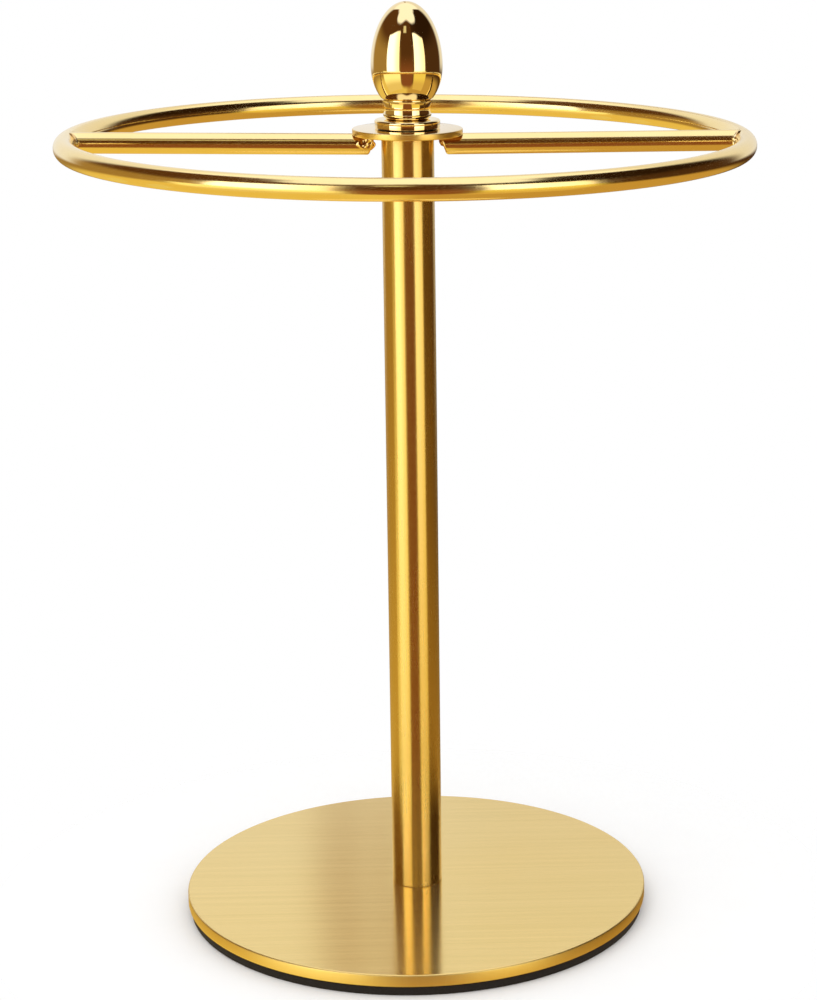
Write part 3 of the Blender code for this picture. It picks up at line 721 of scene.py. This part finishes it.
def lamps(n, colour, azimuth, elevation, aside):
    """The two softboxes, each fading from white at its left to cream at its right, and a small lamp."""
    cream = rgb(1.45, 1.30, 0.95)
    left_white = n.mix(n.ramp(azimuth, -48, -26), rgb(2.1, 2.1, 2.0), cream)
    right_white = n.mix(n.ramp(azimuth, 34, 62), rgb(1.8, 1.75, 1.6), cream)
    left_droop = n.ramp(aside, 25, 75, 0.0, 12.0)
    right_droop = n.ramp(aside, 26, 70, 0.0, 12.0)
    colour = softbox(n, colour, azimuth, elevation, (-65, -25), 36, left_droop, left_white)
    colour = softbox(n, colour, azimuth, elevation, (26, 60), 33, right_droop, right_white)
    small_lamp = n.math("MULTIPLY", n.band(azimuth, -11, -1, 2), n.band(elevation, 37, 46, 2))
    return n.mix(small_lamp, colour, rgb(0.75, 0.68, 0.42))


def reflected_studio(n):
    """What the metal sees, by degrees right of the camera's side and degrees up."""
    direction = n.add("ShaderNodeTexCoord").outputs["Generated"]
    split = n.add("ShaderNodeSeparateXYZ", {"Vector": direction}).outputs
    degrees = 180 / math.pi
    forward = n.math("MULTIPLY", split["Y"], -1.0)
    azimuth = n.math("MULTIPLY", n.math("ARCTAN2", split["X"], forward), degrees)
    elevation = n.math("MULTIPLY", n.math("ARCSINE", split["Z"]), degrees)
    aside = n.math("ABSOLUTE", azimuth)
    colour = dim_room(n, azimuth, elevation, aside)
    colour = lit_table(n, colour, azimuth, elevation, aside)
    colour = white_ceiling(n, colour, elevation, aside)
    colour = pale_backdrop(n, colour, split, elevation, aside)
    return lamps(n, colour, azimuth, elevation, aside)


def studio_world():
    """Only reflections see the studio. The camera and matt surfaces see plain white."""
    world = bpy.data.worlds.new("studio")
    bpy.context.scene.world = world
    world.use_nodes = True
    world.cycles.sampling_method = "NONE"
    n = Nodes(world.node_tree)
    path = n.add("ShaderNodeLightPath").outputs
    colour = n.mix(path["Is Glossy Ray"], rgb(1.0, 1.0, 1.0), reflected_studio(n))
    colour = n.mix(path["Is Camera Ray"], colour, rgb(1.0, 1.0, 1.0))
    background = n.add("ShaderNodeBackground", {"Color": colour, "Strength": 1.0})
    n.add("ShaderNodeOutputWorld", {"Surface": background.outputs[0]})


def overhead_light():
    """A large soft panel above, for the faint shadow round the foot."""
    light = bpy.data.lights.new("overhead", "AREA")
    light.shape = "DISK"
    light.size = 0.9
    light.energy = 2.5
    panel = bpy.data.objects.new("overhead", light)
    panel.location = (-0.25, -0.35, 1.1)
    panel.rotation_euler = (-panel.location).to_track_quat("-Z", "Y").to_euler()
    panel.visible_glossy = False
    bpy.context.scene.collection.objects.link(panel)


def off_centre_lens(camera, axis, amount):
    """Shifts the lens while the camera stands at its own point, and leaves it centred anywhere else."""
    curve = camera.data.driver_add("shift_x" if axis == 0 else "shift_y")
    for name, channel in (("y", "LOC_Y"), ("z", "LOC_Z")):
        variable = curve.driver.variables.new()
        variable.name = name
        variable.type = "TRANSFORMS"
        variable.targets[0].id = camera
        variable.targets[0].transform_type = channel
        variable.targets[0].transform_space = "WORLD_SPACE"
    near = f"abs(y - {CAMERA_POINT.y}) + abs(z - {CAMERA_POINT.z}) < 0.001"
    curve.driver.type = "SCRIPTED"
    curve.driver.expression = f"{amount} if {near} else 0"


def main_camera():
    """The camera in front and a little above, turned slightly right and looking down."""
    data = bpy.data.cameras.new("camera")
    data.sensor_width = 36
    data.lens = FOCAL_LENGTH
    data.clip_start = 0.01
    data.clip_end = 20
    camera = bpy.data.objects.new("camera", data)
    bpy.context.scene.collection.objects.link(camera)
    level = math.cos(CAMERA_DOWN)
    forward = Vector((math.sin(CAMERA_RIGHT) * level, math.cos(CAMERA_RIGHT) * level, -math.sin(CAMERA_DOWN)))
    right = Vector((math.cos(CAMERA_RIGHT), -math.sin(CAMERA_RIGHT), 0))
    up = right.cross(forward)
    rolled_right = right * math.cos(CAMERA_ROLL) + up * math.sin(CAMERA_ROLL)
    rolled_up = up * math.cos(CAMERA_ROLL) - right * math.sin(CAMERA_ROLL)
    turn = Matrix((rolled_right, rolled_up, -forward)).transposed()
    camera.location = CAMERA_POINT
    camera.rotation_euler = turn.to_euler()
    for axis, amount in enumerate(LENS_SHIFT):
        off_centre_lens(camera, axis, amount)
    bpy.context.scene.camera = camera


def refinish_hidden_nodes():
    """Gives the CAD nodes that stay as they are a worked finish in place of a flat colour."""
    finishes = {
        "bare_steel": plain_metal("bare_steel", (0.48, 0.48, 0.49), (0.62, 0.62, 0.63), 0.25),
        "dark_steel": plain_metal("dark_steel", (0.05, 0.05, 0.055), (0.11, 0.11, 0.115), 0.38),
        "bearing_steel": plain_metal("bearing_steel", (0.60, 0.61, 0.63), (0.72, 0.72, 0.74), 0.08, False),
        "cage_brass": plain_metal("cage_brass", (0.68, 0.46, 0.18), (0.82, 0.58, 0.26), 0.22),
        "white_nylon": plain_plastic("white_nylon", (0.74, 0.73, 0.68), (0.84, 0.83, 0.79), 0.42, 1800.0),
    }
    slot_of = {row["node"]: row["material_slot"] for row in frame["record"]["subparts"]}
    for name, node in frame["nodes"].items():
        if slot_of[name] in finishes:
            node.data.materials.clear()
            node.data.materials.append(finishes[slot_of[name]])


def dress_the_rack():
    rod_gold = polished_gold("polished_gold_rod", 0.14)
    # A paler gold for the egg finial than for the rod: painted highlight, whitening the lamps reflected in
    # the egg.
    knob_gold = polished_gold("polished_gold_knob", 0.03, (1.0, 0.79, 0.42), (1.0, 0.85, 0.50))
    hub_gold = polished_gold("polished_gold_hub", 0.09, (0.97, 0.79, 0.50), (0.97, 0.83, 0.58))
    hub_tints = ((0.96, 0.66, 0.19), (1.0, 0.74, 0.26))
    hub_rim_gold = brushed_round_gold("brushed_gold_hub_rim", 0.33, 0.3, hub_tints)
    rim_gold = brushed_round_gold("brushed_gold_rim", 0.40, 0.2, ((0.94, 0.68, 0.22), (1.0, 0.78, 0.30)))
    # A darker gold for the post than for the rims: painted shade, dimming the bands reflected on the post.
    post_gold = brushed_round_gold("brushed_gold_round", 0.24, 0.9, ((0.86, 0.60, 0.20), (0.94, 0.69, 0.25)))
    # A darker, redder gold for the weld beads: painted shade, dimming the lit table they reflect.
    weld_gold = polished_gold("polished_gold_weld", 0.16, (0.62, 0.36, 0.15), (0.86, 0.58, 0.24))
    # Dark maroon gold, painted shade: it darkens the underside of the hub plate and the small weld lump
    # beneath it.
    shaded_dark_gold = polished_gold("polished_gold_painted_shade", 0.14, (0.26, 0.11, 0.05), (0.50, 0.26, 0.12))
    fibre = plain_plastic("black_fibre", (0.012, 0.010, 0.009), (0.03, 0.025, 0.022), 0.7, 2200.0)

    foam_pad(black_foam())
    foot_plate(brushed_plate_gold(), rim_gold)
    post(post_gold)
    hub(hub_gold, hub_rim_gold, shaded_dark_gold)
    thin_washer(fibre)
    egg_finial(knob_gold)
    round_ring(rod_gold)
    round_spoke("round_spoke_left", -1, "spoke_left", rod_gold)
    round_spoke("round_spoke_right", 1, "spoke_right", rod_gold)
    for side, word in ((-1, "left"), (1, "right")):
        for front, place in ((-1, "front"), (1, "back")):
            ring_weld(f"ring_weld_{word}_{place}", side, front, weld_gold, 3.0 * side + front)
            hub_weld(f"hub_weld_{word}_{place}", side, front, weld_gold, 5.0 * side + front)
    weld_splashes(shaded_dark_gold)
    refinish_hidden_nodes()


dress_the_rack()
pale_floor()
studio_world()
overhead_light()
main_camera()
bpy.context.scene.view_settings.view_transform = "Standard"

bpy.context.view_layer.update()
